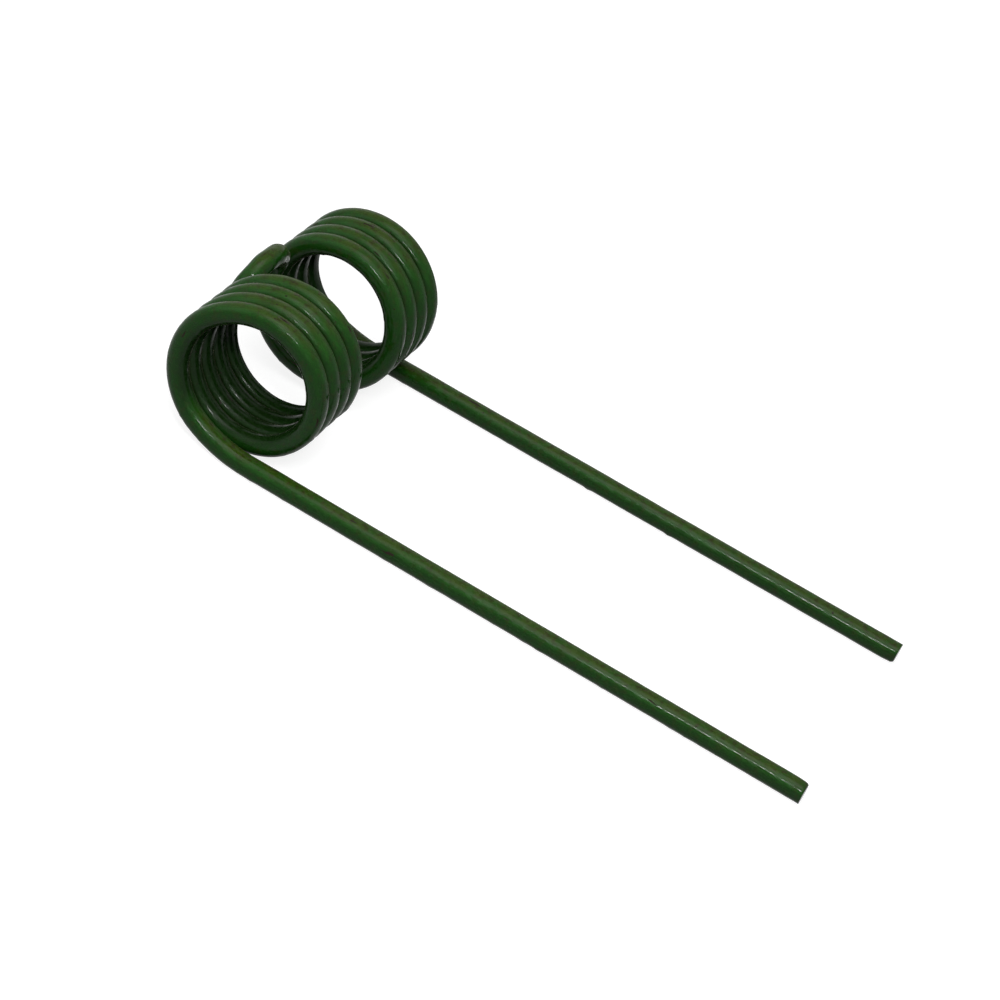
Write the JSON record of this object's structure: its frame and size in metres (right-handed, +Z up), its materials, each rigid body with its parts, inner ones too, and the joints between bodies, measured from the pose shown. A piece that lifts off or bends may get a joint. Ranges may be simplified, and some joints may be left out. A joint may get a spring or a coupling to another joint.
{
  "type": "baler pick-up tine",
  "caption": "Double spring tine for a hay or straw baler pick-up: round wire wound in two coils joined by a bridge, with two long straight parallel legs.",
  "frame": {"origin": "on the common axis of the two coils, midway between them", "axes": "+X along the legs towards their tips, +Y along the coil axis towards the left-hand-wound coil, +Z up, with the legs at the bottom of the coils"},
  "size_m": [0.1832, 0.0712, 0.0433],
  "materials": {
    "painted_spring_steel": "gloss"
  },
  "bodies": {
    "root": {"pickup_tine": "painted_spring_steel"}
  },
  "joints": []
}
